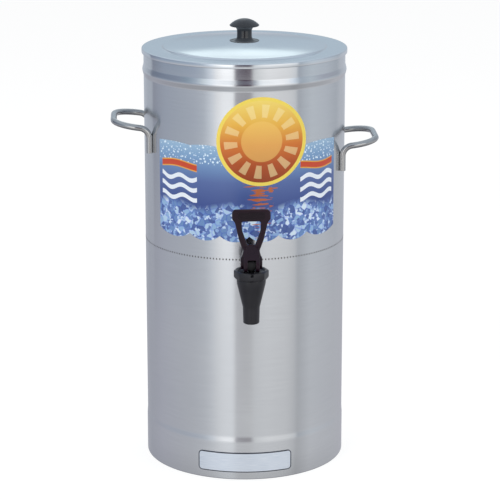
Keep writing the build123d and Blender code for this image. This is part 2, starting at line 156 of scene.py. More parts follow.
# How far a ray has passed each soft edge in the room. The first three lie above one another:
# where the low tones end, where those at eye level end, and where the plain ceiling starts.
passed = {}
for name, way, start, end in (
    ("low", ray_z, math.sin(math.radians(-17.5)), math.sin(math.radians(-7))),
    ("eye", ray_z, math.sin(math.radians(-3)), math.sin(math.radians(6))),
    ("ceiling", ray_z, math.sin(math.radians(19.5)), math.sin(math.radians(22.5))),
    ("front_half", ray_y, 0.55, 0.85),
    ("horizon", ray_z, 0.0, 0.12),
    ("middle", sideways, 0.09, 0.15),
):
    passed[name] = node(tree, "ShaderNodeMapRange", {
        "Value": way, "From Min": start, "From Max": end},
        interpolation_type="SMOOTHSTEP")
rings = [
    node(tree, "ShaderNodeValToRGB", {"Fac": place}, stops)
    for stops in (low_room, eye_level, above_eye)]
ring = laid_over(tree, rings[0], [
    (passed["low"], rings[1]), (passed["eye"], rings[2]), (passed["ceiling"], colour("A9B3BE"))])
tall = node(tree, "ShaderNodeMapRange", {"Value": ray_z, "From Min": -1.0, "From Max": 1.0})
layers = node(tree, "ShaderNodeValToRGB", {"Fac": tall}, [
    (0.0, "A8A9AB"), (0.15, "C8C9CA"), (0.27, "E8E8E8"), (0.32, "FFFFFF"), (0.69, "FFFFFF"),
    (0.73, "D8DADE"), (0.77, "D8DADE"), (0.81, "FFFFFF"), (1.0, "F2F2F2")])
walls = node(tree, "ShaderNodeMix", {
    "Factor": 1.0, "A": ring, "B": layers}, data_type="RGBA", blend_type="MULTIPLY")

# The soft box above and behind the drum, which the lid mirrors, with grey on both sides of it.
overhead = node(tree, "ShaderNodeValToRGB", {"Fac": ray_z}, [
    (0, "919EA9"), (0.24, "97A4AF"), (0.268, "9AA7B1"), (0.281, "D2E0E5"), (0.33, "D8E4E8"),
    (0.362, "BCC8CE"), (0.4, "B8C4CA"), (0.62, "C4CBD1"), (0.8, "ADB3BA"), (1, "A1A6AD")])
back_box = node(tree, "ShaderNodeMix", {
    "Factor": passed["middle"], "A": overhead, "B": colour("99A3AD")}, data_type="RGBA")
top = node(tree, "ShaderNodeMath", {0: passed["front_half"], 1: passed["horizon"]},
           operation="MULTIPLY")
room = node(tree, "ShaderNodeMix", {"Factor": top, "A": walls, "B": back_box}, data_type="RGBA")
mirror_strength, fill_strength, paper_strength = 1.55, 0.62, 1.0
mirror = node(tree, "ShaderNodeBackground", {"Color": room, "Strength": mirror_strength})
fill = node(tree, "ShaderNodeBackground", {"Color": colour("F4F7FA"), "Strength": fill_strength})
paper = node(tree, "ShaderNodeBackground", {"Color": colour("FFFFFF"), "Strength": paper_strength})
ray_kind = node(tree, "ShaderNodeLightPath")
seen = node(tree, "ShaderNodeMath", {
    0: ray_kind.outputs["Is Camera Ray"], 1: ray_kind.outputs["Is Transmission Ray"]},
    operation="MAXIMUM")
lit = node(tree, "ShaderNodeMixShader", {
    "Fac": ray_kind.outputs["Is Glossy Ray"], 1: fill, 2: mirror})
studio = node(tree, "ShaderNodeMixShader", {"Fac": seen, 1: lit, 2: paper})
node(tree, "ShaderNodeOutputWorld", {"Surface": studio})

# Three soft lamps, unseen by the camera and by the metal, which mirrors only the room.
aim = Vector((0, 0, 0.28))
for name, place, size, power in (
    ("key_box", (-1.9, -2.2, 2.2), 1.6, 34.0),
    ("fill_box", (2.3, -1.7, 1.5), 1.4, 16.0),
    ("top_box", (0.2, 0.6, 2.8), 1.8, 18.0),
):
    lamp = bpy.data.lights.new(name, "AREA")
    lamp.shape = "DISK"
    lamp.size = size
    lamp.energy = power
    box = placed(name, lamp)
    box.location = place
    box.rotation_euler = (aim - Vector(place)).to_track_quat("-Z", "Y").to_euler()
    box.visible_camera = False
    box.visible_glossy = False


# The floor: a wide sheet of matt white paper that takes the object's soft shadow. A share of
# plain white in it, seen by the camera alone, makes it as white as the room behind.
def new_material(name):
    """A new material and its emptied node tree."""
    made = bpy.data.materials.new(name)
    made.use_nodes = True
    made.node_tree.nodes.clear()
    return made, made.node_tree


floor_reach, floor_white, floor_share = 12.0, 1.1, 0.74
sheet = bpy.data.meshes.new("floor")
sheet.from_pydata(
    [(x * floor_reach, y * floor_reach, 0) for x, y in ((-1, -1), (1, -1), (1, 1), (-1, 1))],
    [], [(0, 1, 2, 3)])
floor = placed("floor", sheet)
floor.visible_glossy = False
paper_floor, tree = new_material("paper_floor")
matt = node(tree, "ShaderNodeBsdfDiffuse", {"Color": colour("FFFFFF")})
white = node(tree, "ShaderNodeEmission", {"Color": colour("FFFFFF"), "Strength": floor_white})
ray_kind = node(tree, "ShaderNodeLightPath")
share = node(tree, "ShaderNodeMath", {
    0: ray_kind.outputs["Is Camera Ray"], 1: floor_share}, operation="MULTIPLY")
both = node(tree, "ShaderNodeMixShader", {"Fac": share, 1: matt, 2: white})
node(tree, "ShaderNodeOutputMaterial", {"Surface": both})
sheet.materials.append(paper_floor)


# The drum, rolled from 0.8 mm stainless sheet with a satin brushed face. Two beads are rolled
# into it, its rim is curled inwards, and its foot is turned in to a flange that it stands on.
drum_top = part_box("body_shell")[1].z
wall, sheet_t = 0.134, 0.0008
base_r = wall + 0.0006
foot_corner, curl = 0.0015, 0.0012
flange_in = base_r - 0.006
around = 288
# Each bead: where it starts, crests and ends, how proud it stands, and how long it eases in.
upper_bead = (0.524, 0.5325, 0.541, 0.0017, 0.0022)
lower_bead = (0.039, 0.0505, 0.062, 0.0006, 0.004)
# The hole that the tap's shank passes, punched through the drum and the tank's pan together.
shank_z, hole_r, punch_length = 0.281, 0.0084, 0.03


def flank(z0, r0, z1, r1, ease, steps=4):
    """Radius and height up one straight flank of a bead, eased into the wall at both ends."""
    run, rise = z1 - z0, r1 - r0
    slope = rise / (run - ease)
    points = [(r0 + slope * (ease * part / steps) ** 2 / (2 * ease), z0 + ease * part / steps)
              for part in range(steps + 1)]
    points += [(r1 - slope * (ease * part / steps) ** 2 / (2 * ease), z1 - ease * part / steps)
               for part in range(steps, -1, -1)]
    return points


def arc(r, z, bend, start, end, steps):
    """Radius and height along an arc round a centre, between two angles in degrees."""
    points = []
    for number in range(steps + 1):
        angle = math.radians(start + (end - start) * number / steps)
        points.append((r + bend * math.cos(angle), z + bend * math.sin(angle)))
    return points


def wall_side(inset):
    """One face of the drum's wall from the foot up to the rim."""
    low, crest, high, proud, ease = lower_bead
    points = flank(low, base_r, crest, wall + proud, ease)
    points += flank(crest, wall + proud, high, wall, ease)[1:]
    points += [(wall, high + (upper_bead[0] - high) * part / 12) for part in range(1, 12)]
    low, crest, high, proud, ease = upper_bead
    points += flank(low, wall, crest, wall + proud, ease)
    points += flank(crest, wall + proud, high, wall, ease)[1:]
    return [(r - inset, z) for r, z in points]


def as_mesh(name, shape):
    """The mesh that a bmesh holds."""
    mesh = bpy.data.meshes.new(name)
    shape.to_mesh(mesh)
    shape.free()
    return mesh


def turned(name, outline, around=around):
    """A mesh turned round the Z axis from a closed outline of radius and height, with its UV map
    in metres: round the wall, and along the outline."""
    runs = [0.0]
    for (r0, z0), (r1, z1) in zip(outline, outline[1:] + outline[:1]):
        runs.append(runs[-1] + math.hypot(r1 - r0, z1 - z0))
    shape = bmesh.new()
    uv = shape.loops.layers.uv.new("surface")
    rings = []
    for r, z in outline:
        if r < 1e-6:
            rings.append([shape.verts.new((0, 0, z))] * around)
            continue
        ring = []
        for number in range(around):
            angle = 2 * math.pi * number / around
            ring.append(shape.verts.new((r * math.cos(angle), r * math.sin(angle), z)))
        rings.append(ring)
    widest = max(r for r, z in outline)
    for row in range(len(rings)):
        low, high = rings[row], rings[(row + 1) % len(rings)]
        for number in range(around):
            after = (number + 1) % around
            ends = [low[number], low[after], high[after], high[number]]
            marks = [(number, row), (number + 1, row), (number + 1, row + 1), (number, row + 1)]
            corners, places = [], []
            for vert, mark in zip(ends, marks):
                if vert not in corners:
                    corners.append(vert)
                    places.append(mark)
            if len(corners) < 3:
                continue
            face = shape.faces.new(corners)
            for loop, (column, line) in zip(face.loops, places):
                loop[uv].uv = (2 * math.pi * widest * column / around, runs[line])
    bmesh.ops.recalc_face_normals(shape, faces=shape.faces)
    return as_mesh(name, shape)


def applied(blank):
    """The plain mesh that an object gives with its modifiers. The object itself goes."""
    graph = bpy.context.evaluated_depsgraph_get()
    mesh = bpy.data.meshes.new_from_object(blank.evaluated_get(graph))
    bpy.data.objects.remove(blank)
    return mesh


def punched(mesh):
    """The same mesh with the tap's hole cut through its front."""
    punch = bmesh.new()
    bmesh.ops.create_cone(
        punch, cap_ends=True, segments=48, radius1=hole_r, radius2=hole_r, depth=punch_length)
    bmesh.ops.rotate(punch, verts=punch.verts, matrix=Matrix.Rotation(math.pi / 2, 3, "X"))
    bmesh.ops.translate(punch, verts=punch.verts, vec=(0, -wall, shank_z))
    tool = placed("punch", as_mesh("punch", punch))
    blank = placed("blank", mesh)
    hole = blank.modifiers.new("hole", "BOOLEAN")
    hole.object = tool
    hole.operation = "DIFFERENCE"
    hole.solver = "EXACT"
    holed = applied(blank)
    bpy.data.objects.remove(tool)
    return holed


def toned(tree, tint, shade):
    """A colour that a shade from 0 to 1 darkens from place to place."""
    grey = node(tree, "ShaderNodeCombineColor", {"Red": shade, "Green": shade, "Blue": shade})
    return node(tree, "ShaderNodeMix", {
        "Factor": 1.0, "A": colour(tint), "B": grey}, data_type="RGBA", blend_type="MULTIPLY")


def brushed_steel(name, tint, roughness, grain=0.0016, streak=0.05, depth=0.00001, brushing=0.55):
    """Stainless steel brushed round the piece: fine scratches that run along U and blur what the
    metal shows mostly across them. Grain is drawn coarser than the real 0.1 mm, so it shows."""
    made, tree = new_material(name)
    uv = node(tree, "ShaderNodeUVMap", uv_map="surface")
    lines = node(tree, "ShaderNodeMapping", {"Vector": uv, "Scale": (1 / streak, 1 / grain, 1.0)})
    scratch = node(tree, "ShaderNodeTexNoise", {
        "Vector": lines, "Scale": 1.0, "Detail": 4.0, "Roughness": 0.6})
    patch = node(tree, "ShaderNodeMapping", {"Vector": uv, "Scale": (9.0, 7.0, 1.0)})
    cloud = node(tree, "ShaderNodeTexNoise", {"Vector": patch, "Scale": 1.0, "Detail": 3.0})
    shade = node(tree, "ShaderNodeMapRange", {
        "Value": scratch, "From Min": 0.3, "From Max": 0.7, "To Min": 0.955, "To Max": 1.0})
    rough = node(tree, "ShaderNodeMapRange", {
        "Value": cloud, "From Min": 0.35, "From Max": 0.65,
        "To Min": roughness - 0.02, "To Max": roughness + 0.03})
    relief = node(tree, "ShaderNodeBump", {"Strength": 0.25, "Distance": depth, "Height": scratch})
    along = node(tree, "ShaderNodeTangent", direction_type="UV_MAP", uv_map="surface")
    metal = node(tree, "ShaderNodeBsdfPrincipled", {
        "Base Color": toned(tree, tint, shade), "Metallic": 1.0, "Roughness": rough,
        "Anisotropic": brushing, "Anisotropic Rotation": 0.25, "Tangent": along,
        "Normal": relief})
    node(tree, "ShaderNodeOutputMaterial", {"Surface": metal})
    return made


def finish_mesh(name, mesh, body, material=None, replaced=(), sharp=34.0):
    """Shades a finished mesh smooth, gives it its material, and puts it on its body in place of
    its CAD nodes."""
    mesh.shade_smooth()
    mesh.set_sharp_from_angle(angle=math.radians(sharp))
    if material:
        mesh.materials.clear()
        mesh.materials.append(material)
    piece = placed(name, mesh)
    if replaced:
        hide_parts(*replaced)
    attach(piece, body)
    return piece


outline = arc(base_r - foot_corner, foot_corner, foot_corner, -90, 0, 5)
outline += wall_side(0.0)
outline += arc(wall - curl, drum_top - curl, curl, 0, 306, 20)
outline += wall_side(sheet_t)[::-1]
outline += arc(base_r - foot_corner, foot_corner, foot_corner - sheet_t, 0, -90, 4)
outline += [(flange_in, sheet_t), (flange_in, 0.0)]
finish_mesh("drum", punched(turned("drum", outline)), "body",
            brushed_steel("satin_brushed_stainless_steel", "D9DBDE", 0.17, brushing=0.75),
            ["body_shell"])


# The tank's pan, pressed from the same sheet, nested in the drum and seam welded to it above
# the tap. Its floor stays smooth and a little darker, since nobody polishes it.
pan_r = wall - sheet_t - 0.00005
pan_floor, pan_fold = 0.262, 0.006
seam_z, seam_lap = 0.304, 0.003
bend_r, bend_z = pan_r - pan_fold, pan_floor - sheet_t + pan_fold
outline = [(0.0, pan_floor - sheet_t)]
outline += [(bend_r * part / 6, pan_floor - sheet_t) for part in range(1, 6)]
outline += arc(bend_r, bend_z, pan_fold, -90, 0, 8)
outline += [(pan_r, seam_z + seam_lap), (pan_r - sheet_t, seam_z + seam_lap)]
outline += arc(bend_r, bend_z, pan_fold - sheet_t, 0, -90, 8)
outline += [(bend_r * part / 6, pan_floor) for part in range(5, 0, -1)] + [(0.0, pan_floor)]
finish_mesh("tank_bottom", punched(turned("tank_bottom", outline)), "body",
            brushed_steel("pressed_stainless_steel", "CFCFD0", 0.3, grain=0.003, brushing=0.3),
            ["tank_pan"])


# The seam weld that holds the pan: a row of small electrode marks 4.3 mm apart round the drum,
# pressed by a wheel welder outside and inside, and tinted a little by the heat.
mark_count, mark_half_w, mark_half_h, mark_proud = 196, 0.001, 0.0013, 0.00012


def plain_metal(name, tint, roughness):
    """Metal without a brushed direction: slow mottling in its tone, and fine pits for its grain.
    The pits are drawn about 1 mm wide, coarser than real ones, so that they show."""
    made, tree = new_material(name)
    where = node(tree, "ShaderNodeTexCoord").outputs["Object"]
    cloud = node(tree, "ShaderNodeTexNoise", {"Vector": where, "Scale": 40.0, "Detail": 3.0})
    pits = node(tree, "ShaderNodeTexNoise", {"Vector": where, "Scale": 900.0, "Detail": 3.0})
    shade = node(tree, "ShaderNodeMapRange", {
        "Value": cloud, "From Min": 0.35, "From Max": 0.65, "To Min": 0.9, "To Max": 1.0})
    rough = node(tree, "ShaderNodeMapRange", {
        "Value": pits, "From Min": 0.3, "From Max": 0.7,
        "To Min": roughness * 0.85, "To Max": roughness * 1.15})
    relief = node(tree, "ShaderNodeBump", {"Strength": 0.2, "Distance": 0.00001, "Height": pits})
    metal = node(tree, "ShaderNodeBsdfPrincipled", {
        "Base Color": toned(tree, tint, shade), "Metallic": 1.0, "Roughness": rough,
        "Normal": relief})
    node(tree, "ShaderNodeOutputMaterial", {"Surface": metal})
    return made


def spots(name, r, steel):
    """A ring of weld marks built with Geometry Nodes and turned into one plain mesh."""
    tree = bpy.data.node_groups.new(name, "GeometryNodeTree")
    sizes = {
        "Count": mark_count, "Ring radius": r, "Height": seam_z, "Half width": mark_half_w,
        "Half height": mark_half_h, "Proud": mark_proud}
    for size, value in sizes.items():
        kind = "NodeSocketInt" if size == "Count" else "NodeSocketFloat"
        tree.interface.new_socket(size, in_out="INPUT", socket_type=kind)
    tree.interface.new_socket("Geometry", in_out="OUTPUT", socket_type="NodeSocketGeometry")
    given = node(tree, "NodeGroupInput").outputs
    ring = node(tree, "GeometryNodeMeshCircle", {
        "Vertices": given["Count"], "Radius": given["Ring radius"]})
    lift = node(tree, "ShaderNodeCombineXYZ", {"Z": given["Height"]})
    row = node(tree, "GeometryNodeTransform", {"Geometry": ring, "Translation": lift})
    spot = node(tree, "GeometryNodeMeshUVSphere", {"Segments": 8, "Rings": 4, "Radius": 1.0})
    soft = node(tree, "GeometryNodeSetShadeSmooth", {"Geometry": spot})
    where = node(tree, "GeometryNodeInputPosition")
    flat = node(tree, "ShaderNodeVectorMath", {0: where, 1: (1.0, 1.0, 0.0)}, operation="MULTIPLY")
    facing = node(tree, "FunctionNodeAlignRotationToVector", {"Vector": flat}, axis="X")
    scale = node(tree, "ShaderNodeCombineXYZ", {
        "X": given["Proud"], "Y": given["Half width"], "Z": given["Half height"]})
    marks = node(tree, "GeometryNodeInstanceOnPoints", {
        "Points": row, "Instance": soft, "Rotation": facing, "Scale": scale})
    real = node(tree, "GeometryNodeRealizeInstances", {"Geometry": marks})
    done = node(tree, "GeometryNodeSetMaterial", {"Geometry": real, "Material": steel})
    node(tree, "NodeGroupOutput", {"Geometry": done})
    holder = placed(name, bpy.data.meshes.new(name))
    maker = holder.modifiers.new("marks", "NODES")
    maker.node_group = tree
    for socket in tree.interface.items_tree:
        if socket.in_out == "INPUT":
            maker[socket.identifier] = sizes[socket.name]
    finish_mesh(name, applied(holder), "body")


weld_steel = plain_metal("heat_tinted_weld_steel", "858280", 0.45)
for name, r in (("seam_marks_outside", wall), ("seam_marks_inside", pan_r - sheet_t)):
    spots(name, r, weld_steel)


# The butt weld that closes the rolled sheet, straight up the back of the drum: a low rippled
# bead, dressed on the outside, and the same bead inside the tank.
dressed_steel = plain_metal("dressed_weld_steel", "DEDEDF", 0.34)
weld_low, weld_high = 0.004, 0.5565
weld_half_w, weld_proud, weld_sunk, ripple = 0.0014, 0.00016, 0.00002, 0.0011


def wall_radius(z, side):
    """The radius of one face of the wall at a height."""
    for (r0, z0), (r1, z1) in zip(side, side[1:]):
        if z0 <= z <= z1:
            return r0 + (r1 - r0) * (z - z0) / (z1 - z0)
    return side[-1][0]


def bead(name, side, low, high, outward):
    """A rippled weld bead up the back of the wall, closed on the sheet's side."""
    rows, across = round((high - low) / (ripple / 4)), 8
    shape = bmesh.new()
    grid = []
    for row in range(rows + 1):
        z = low + (high - low) * row / rows
        wave = 0.8 + 0.2 * math.cos(2 * math.pi * (z - low) / ripple)
        line = []
        for number in range(across + 1):
            off = 2 * number / across - 1
            r = wall_radius(z, side)
            r += outward * (weld_proud * wave * (1 - off * off) - weld_sunk)
            x = off * weld_half_w
            line.append(shape.verts.new((x, math.sqrt(r * r - x * x), z)))
        grid.append(line)
    for lower, upper in zip(grid, grid[1:]):
        for number in range(across):
            shape.faces.new((lower[number], lower[number + 1], upper[number + 1], upper[number]))
    skin = bmesh.ops.extrude_face_region(shape, geom=shape.faces[:])
    sunk = [item for item in skin["geom"] if isinstance(item, bmesh.types.BMVert)]
    bmesh.ops.translate(shape, verts=sunk, vec=(0, -0.0003 * outward, 0))
    bmesh.ops.recalc_face_normals(shape, faces=shape.faces)
    finish_mesh(name, as_mesh(name, shape), "body", dressed_steel)


bead("back_weld_outside", wall_side(0.0), weld_low, weld_high, 1)
bead("back_weld_inside", wall_side(sheet_t), seam_z + seam_lap + 0.001, weld_high, -1)


# The handles, each bent from one 8.2 mm stainless rod, polished bright and projection welded
# to the wall along both legs. The left one sits 26.5 mm higher.
rod_r = 0.0041
half_span, leg_h, bar_x, bar_rise = 0.0515, 0.032, 0.1745, 0.0062
bends = (0.014, 0.033, 0.033, 0.014)
foot_x = math.sqrt((wall + rod_r - 0.0005) ** 2 - half_span ** 2)


def rounded_route(corners, bends):
    """Points of straight runs that are joined by arcs of the given radii."""
    points = [corners[0]]
    for before, corner, after, bend in zip(corners, corners[1:], corners[2:], bends):
        into = (corner - before).normalized()
        out = (after - corner).normalized()
        turn = into.angle(out)
        start = corner - into * bend * math.tan(turn / 2)
        side = (out - into * into.dot(out)).normalized()
        steps = max(3, round(turn / math.radians(5)))
        for number in range(steps + 1):
            angle = turn * number / steps
            points.append(start + into * bend * math.sin(angle)
                          + side * bend * (1 - math.cos(angle)))
    points.append(corners[-1])
    return points


def rod(name, points, r, sides=32):
    """A round bar along a route, with its UV map in metres: along it, and round it."""
    shape = bmesh.new()
    uv = shape.loops.layers.uv.new("surface")
    rings, runs = [], [0.0]
    heading = (points[1] - points[0]).normalized()
    normal = heading.orthogonal().normalized()
    for number, point in enumerate(points):
        before = points[max(number - 1, 0)]
        after = points[min(number + 1, len(points) - 1)]
        ahead = (after - before).normalized()
        normal = (normal - ahead * normal.dot(ahead)).normalized()
        other = ahead.cross(normal)
        rings.append([
            shape.verts.new(point + r * (normal * math.cos(a) + other * math.sin(a)))
            for a in (2 * math.pi * side / sides for side in range(sides))])
        runs.append(runs[-1] + (after - point).length)
    for row in range(len(rings) - 1):
        for side in range(sides):
            after = (side + 1) % sides
            face = shape.faces.new((
                rings[row][side], rings[row][after], rings[row + 1][after], rings[row + 1][side]))
            marks = ((row, side), (row, side + 1), (row + 1, side + 1), (row + 1, side))
            for loop, (line, column) in zip(face.loops, marks):
                loop[uv].uv = (runs[line], 2 * math.pi * r * column / sides)
    for ring, inset in ((rings[0], -1), (rings[-1], 1)):
        shape.faces.new(ring[::inset])
    ends = [edge for edge in shape.edges if edge.calc_face_angle(0) > 1.2]
    bmesh.ops.bevel(shape, geom=ends, offset=0.0004, segments=2, affect="EDGES")
    bmesh.ops.recalc_face_normals(shape, faces=shape.faces)
    return as_mesh(name, shape)


polished = brushed_steel("polished_stainless_rod", "BDBCBB", 0.19, grain=0.0009, streak=0.02,
                         depth=0.000004, brushing=0.3)
for name, hand, z in (("left_handle", -1, 0.461), ("right_handle", 1, 0.4345)):
    near = [Vector((hand * x, -half_span, z + up)) for x, up in (
        (foot_x, -leg_h), (foot_x, 0.0), (bar_x, bar_rise))]
    far = [Vector((point.x, -point.y, point.z)) for point in reversed(near)]
    route = rounded_route(near + far, bends)
    finish_mesh(name + "_rod", rod(name, route, rod_r), "body", polished, [name])


# The front label, one sheet of printed gloss vinyl on the wall. Its own print: a sun over
# water, bubbles above, pebbles below, white waves and an orange ribbon on either side.
label_t, label_half = 0.00025, 0.114
label_low, label_high = 0.335, 0.452
low_sag, high_swell, arc_count = 0.0075, 0.002, 6
sun_x, sun_z, sun_r = 0.016, 0.460, 0.058


def film(name, outline, r, thickness, step=0.0023):
    """A sheet bent round the drum, from an outline of distance round the wall and height."""
    shape = bmesh.new()
    uv = shape.loops.layers.uv.new("surface")
    shape.faces.new([shape.verts.new((x, 0.0, z)) for x, z in outline])
    left, right = min(x for x, z in outline), max(x for x, z in outline)
    cuts = math.ceil((right - left) / step)
    for number in range(1, cuts):
        at = left + (right - left) * number / cuts
        bmesh.ops.bisect_plane(
            shape, geom=shape.verts[:] + shape.edges[:] + shape.faces[:], dist=1e-7,
            plane_co=(at, 0, 0), plane_no=(1, 0, 0))
    skin = bmesh.ops.extrude_face_region(shape, geom=shape.faces[:])
    back = {item for item in skin["geom"] if isinstance(item, bmesh.types.BMVert)}
    for face in shape.faces:
        for loop in face.loops:
            loop[uv].uv = (loop.vert.co.x, loop.vert.co.z)
    for vert in shape.verts:
        angle = vert.co.x / wall
        depth = r if vert in back else r + thickness
        vert.co = (depth * math.sin(angle), -depth * math.cos(angle), vert.co.z)
    bmesh.ops.recalc_face_normals(shape, faces=shape.faces)
    return as_mesh(name, shape)


def waves(z, swell, steps=14):
    """The points of a row of equal arcs across the label, from left to right."""
    span = 2 * label_half / arc_count
    bow = (span * span / 4 + swell * swell) / (2 * abs(swell))
    points = []
    for number in range(arc_count * steps + 1):
        x = -label_half + span * number / steps
        off = span * ((number % steps) / steps - 0.5)
        rise = math.sqrt(bow * bow - off * off) - (bow - abs(swell))
        points.append((x, z + math.copysign(rise, swell)))
    return points


# The upper edge is a row of arcs, out of which the sun's disc rises.
upper = waves(label_high, high_swell)
sun = arc(sun_x, sun_z, sun_r, 190.8, -10.8, 96)
upper = ([point for point in upper if point[0] < sun[0][0] - 0.0005] + sun
         + [point for point in upper if point[0] > sun[-1][0] + 0.0005])
outline = waves(label_low, -low_sag) + upper[::-1]
outline = [(wall * math.asin(x / wall), z) for x, z in outline]
label = film("front_label_film", outline, wall, label_t)

# The print, drawn in millimetres: x round the wall from its middle, z above the foot.
vinyl, tree = new_material("printed_gloss_vinyl")
uv = node(tree, "ShaderNodeUVMap", uv_map="surface")
mm = node(tree, "ShaderNodeVectorMath", {0: uv, "Scale": 1000.0}, operation="SCALE")
at = node(tree, "ShaderNodeSeparateXYZ", {"Vector": mm})
x, z = at.outputs["X"], at.outputs["Y"]
water = node(tree, "ShaderNodeMapRange", {"Value": z, "From Min": 325.0, "From Max": 455.0})
water = node(tree, "ShaderNodeValToRGB", {"Fac": water}, [
    (0.0, "43558F"), (0.35, "3B4D8A"), (0.62, "566A9F"), (0.76, "6B8AB6"), (0.88, "7FA1C6"),
    (1.0, "9BB9D3")])

# Pebbles: cells of about 8 mm with smaller ones of 3 mm between them, in ice blue and white.
wobble = node(tree, "ShaderNodeTexNoise", {"Vector": mm, "Scale": 0.12, "Detail": 2.0})
drift = node(tree, "ShaderNodeVectorMath", {
    0: wobble.outputs["Color"], "Scale": 6.0}, operation="SCALE")
bent = node(tree, "ShaderNodeVectorMath", {0: mm, 1: drift})
pebbles = None
for size, stops in (
    (8.0, [(0.0, "4C639B"), (0.2, "6A8CBC"), (0.4, "8FB2D6"), (0.6, "5D7CB0"),
           (0.72, "AECAE3"), (0.9, "D3E4F1")]),
    (3.2, [(0.0, "566DA5"), (0.3, "93B2D8"), (0.5, "6883B8"), (0.78, "C4D9EB")]),
):
    cell = node(tree, "ShaderNodeTexVoronoi", {
        "Vector": bent, "Scale": 1 / size}, voronoi_dimensions="2D")
    pick = node(tree, "ShaderNodeSeparateColor", {"Color": cell.outputs["Color"]})
    tone = node(tree, "ShaderNodeValToRGB", {"Fac": pick.outputs["Red"]}, stops)
    tone.color_ramp.interpolation = "CONSTANT"
    rim = node(tree, "ShaderNodeTexVoronoi", {
        "Vector": bent, "Scale": 1 / size}, voronoi_dimensions="2D",
        feature="DISTANCE_TO_EDGE")
    lit_rim = node(tree, "ShaderNodeMapRange", {
        "Value": rim, "From Min": 0.03, "From Max": 0.16, "To Min": 0.68, "To Max": 1.0})
    grey = node(tree, "ShaderNodeCombineColor", {"Red": lit_rim, "Green": lit_rim, "Blue": 1.0})
    shaded = node(tree, "ShaderNodeMix", {
        "Factor": 1.0, "A": tone, "B": grey}, data_type="RGBA", blend_type="MULTIPLY")
    if pebbles is None:
        pebbles = shaded
    else:
        between = node(tree, "ShaderNodeTexNoise", {"Vector": mm, "Scale": 0.09, "Detail": 1.0})
        some = node(tree, "ShaderNodeMath", {0: between, 1: 0.52}, operation="GREATER_THAN")
        pebbles = node(tree, "ShaderNodeMix", {
            "Factor": some, "A": pebbles, "B": shaded}, data_type="RGBA")
swing = node(tree, "ShaderNodeMath", {0: x, 1: 0.07}, operation="MULTIPLY")
crest = node(tree, "ShaderNodeMath", {0: swing}, operation="SINE")
shore = node(tree, "ShaderNodeMath", {0: crest, 1: 4.0, 2: z}, operation="MULTIPLY_ADD")
under = node(tree, "ShaderNodeMapRange", {"Value": shore, "From Min": 378.0, "From Max": 368.0})
inks = [(under, pebbles)]

# Bubbles: white dots of 1 to 3 mm in the pale strip along the top.
foam = node(tree, "ShaderNodeTexVoronoi", {"Vector": mm, "Scale": 1 / 4.6},
            voronoi_dimensions="2D")
chance = node(tree, "ShaderNodeSeparateColor", {"Color": foam.outputs["Color"]})
girth = node(tree, "ShaderNodeMapRange", {
    "Value": chance.outputs["Green"], "To Min": 0.06, "To Max": 0.32})
dot = node(tree, "ShaderNodeMath", {0: foam, 1: girth}, operation="LESS_THAN")
high_up = node(tree, "ShaderNodeMath", {0: z, 1: 428.0}, operation="GREATER_THAN")
bubble = node(tree, "ShaderNodeMath", {0: dot, 1: high_up}, operation="MULTIPLY")
inks.append((bubble, colour("D9E9F5")))

# Waves and ribbons, drawn only to the left and right of the sun.
aside_x = node(tree, "ShaderNodeMath", {0: x}, operation="ABSOLUTE")
clear = node(tree, "ShaderNodeMath", {0: aside_x, 1: 100.0, 2: 30.0}, operation="COMPARE")
for middle, length, swell, half, ink in (
    (424.0, 84.0, 2.4, 5.0, "E0A548"), (424.0, 84.0, 2.4, 3.5, "C74A2E"),
    (408.0, 36.0, 2.8, 2.9, "E6ECF4"), (395.0, 36.0, 2.8, 2.9, "E6ECF4"),
    (382.0, 36.0, 2.8, 2.9, "E6ECF4"),
):
    run = node(tree, "ShaderNodeMath", {0: x, 1: 2 * math.pi / length, 2: middle},
               operation="MULTIPLY_ADD")
    sway = node(tree, "ShaderNodeMath", {0: run}, operation="SINE")
    line = node(tree, "ShaderNodeMath", {0: sway, 1: swell, 2: middle}, operation="MULTIPLY_ADD")
    on = node(tree, "ShaderNodeMath", {0: z, 1: line, 2: half}, operation="COMPARE")
    mask = node(tree, "ShaderNodeMath", {0: on, 1: clear}, operation="MULTIPLY")
    inks.append((mask, colour(ink)))

# The sun: amber below, yellow above, with rays round a pale core and a yellow rim.
horizon, rays_r, rays_half, rim_r, disc_r = 404.0, 40.0, 8.5, 53.5, 58.2
round_wall = node(tree, "ShaderNodeMath", {0: x, 1: 0.001 / wall}, operation="MULTIPLY")
sideways = node(tree, "ShaderNodeMath", {0: round_wall}, operation="SINE")
from_x = node(tree, "ShaderNodeMath", {
    0: sideways, 1: 1000 * wall, 2: -1000 * sun_x}, operation="MULTIPLY_ADD")
from_z = node(tree, "ShaderNodeMath", {0: z, 1: 1000 * sun_z}, operation="SUBTRACT")
spoke = node(tree, "ShaderNodeCombineXYZ", {"X": from_x, "Y": from_z})
far = node(tree, "ShaderNodeVectorMath", {0: spoke}, operation="LENGTH")
glow = node(tree, "ShaderNodeMapRange", {"Value": z, "From Min": 395.0, "From Max": 515.0})
amber = node(tree, "ShaderNodeValToRGB", {"Fac": glow}, [
    (0.0, "7E3418"), (0.3, "AE4F22"), (0.5, "CF7430"), (0.72, "E6B048"), (1.0, "EFD56E")])
angle = node(tree, "ShaderNodeMath", {0: from_z, 1: from_x}, operation="ARCTAN2")
fan = node(tree, "ShaderNodeMath", {0: angle, 1: 14.0}, operation="MULTIPLY")
fan = node(tree, "ShaderNodeMath", {0: fan}, operation="SINE")
ray = node(tree, "ShaderNodeMath", {0: fan, 1: 0.1}, operation="GREATER_THAN")
belt = node(tree, "ShaderNodeMath", {0: far, 1: rays_r, 2: rays_half}, operation="COMPARE")
ray = node(tree, "ShaderNodeMath", {0: ray, 1: belt}, operation="MULTIPLY")
ray = node(tree, "ShaderNodeMath", {0: ray, 1: 0.45}, operation="MULTIPLY")
